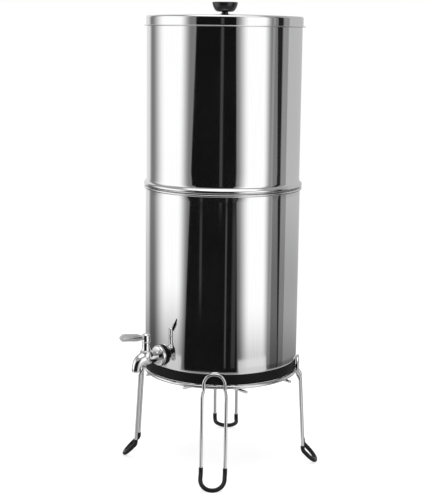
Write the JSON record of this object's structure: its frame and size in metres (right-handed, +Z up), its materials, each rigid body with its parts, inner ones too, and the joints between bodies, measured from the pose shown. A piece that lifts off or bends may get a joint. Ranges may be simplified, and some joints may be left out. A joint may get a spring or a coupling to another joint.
{
  "type": "gravity water filter with tap",
  "caption": "Tall cylindrical gravity water filter: stacked polished steel chambers under a lid with a black knob, a lever tap low on the wall, on a wire stand with rubber sleeved feet.",
  "frame": {"origin": "centre of the stand at floor level, on the chambers' vertical axis", "axes": "+Z up along the chambers' axis, -Y towards the tap, +X to the right of someone who faces the tap"},
  "size_m": [0.2222, 0.2911, 0.6529],
  "materials": {
    "steel": "mirror polished stainless steel",
    "steel_floor": "satin stainless steel",
    "tap_chrome": "polished chrome on brass",
    "wire_chrome": "chromed steel wire",
    "screw_steel": "bright turned steel",
    "black_plastic": "glossy moulded",
    "element_plastic": "moulded",
    "black_rubber": "matte",
    "sleeve_rubber": "satin vinyl sleeve",
    "carbon": "pressed carbon, rough"
  },
  "bodies": {
    "stand": {"stand_ring": "wire_chrome", "cross_wires": "wire_chrome", "leg_front_right": "wire_chrome", "leg_back_right": "wire_chrome", "leg_back_left": "wire_chrome", "leg_front_left": "wire_chrome", "sleeve_front_right": "sleeve_rubber", "sleeve_back_right": "sleeve_rubber", "sleeve_back_left": "sleeve_rubber", "sleeve_front_left": "sleeve_rubber"},
    "lower_unit": {"lower_chamber": "steel", "base_ring": "black_rubber", "tap_body": "tap_chrome", "tap_flange": "tap_chrome", "tap_outer_washer": "black_rubber", "tap_inner_washer": "black_rubber", "tap_nut": "screw_steel", "tap_bonnet": "tap_chrome"},
    "lever_unit": {"valve_plug": "screw_steel", "stem_seals": "black_rubber", "lever_cap": "tap_chrome", "tap_lever": "tap_chrome", "lever_set_screw": "screw_steel"},
    "upper_unit": {"upper_chamber": "steel", "filter_base_left": "element_plastic", "filter_base_right": "element_plastic", "filter_block_left": "carbon", "filter_block_right": "carbon", "filter_top_left": "element_plastic", "filter_top_right": "element_plastic", "element_washers": "black_rubber", "wing_nuts": "screw_steel", "blanking_plugs": "element_plastic", "plug_washers": "black_rubber", "plug_nuts": "screw_steel"},
    "lid": {"lid_shell": "steel", "lid_knob": "black_plastic", "knob_washer": "black_rubber", "knob_screw": "screw_steel"}
  },
  "joints": [
    {"name": "lower_lift", "type": "slide", "parent": "stand", "child": "lower_unit", "axis": [0, 0, 1], "range_m": [0, 0.12]},
    {"name": "lever_turn", "type": "hinge", "parent": "lower_unit", "child": "lever_unit", "pos_m": [0, -0.135, 0.2], "axis": [0, 0, 1], "range_deg": [-90, 90]},
    {"name": "upper_lift", "type": "slide", "parent": "lower_unit", "child": "upper_unit", "axis": [0, 0, 1], "range_m": [0, 0.15]},
    {"name": "lid_lift", "type": "slide", "parent": "upper_unit", "child": "lid", "axis": [0, 0, 1], "range_m": [0, 0.15]}
  ]
}
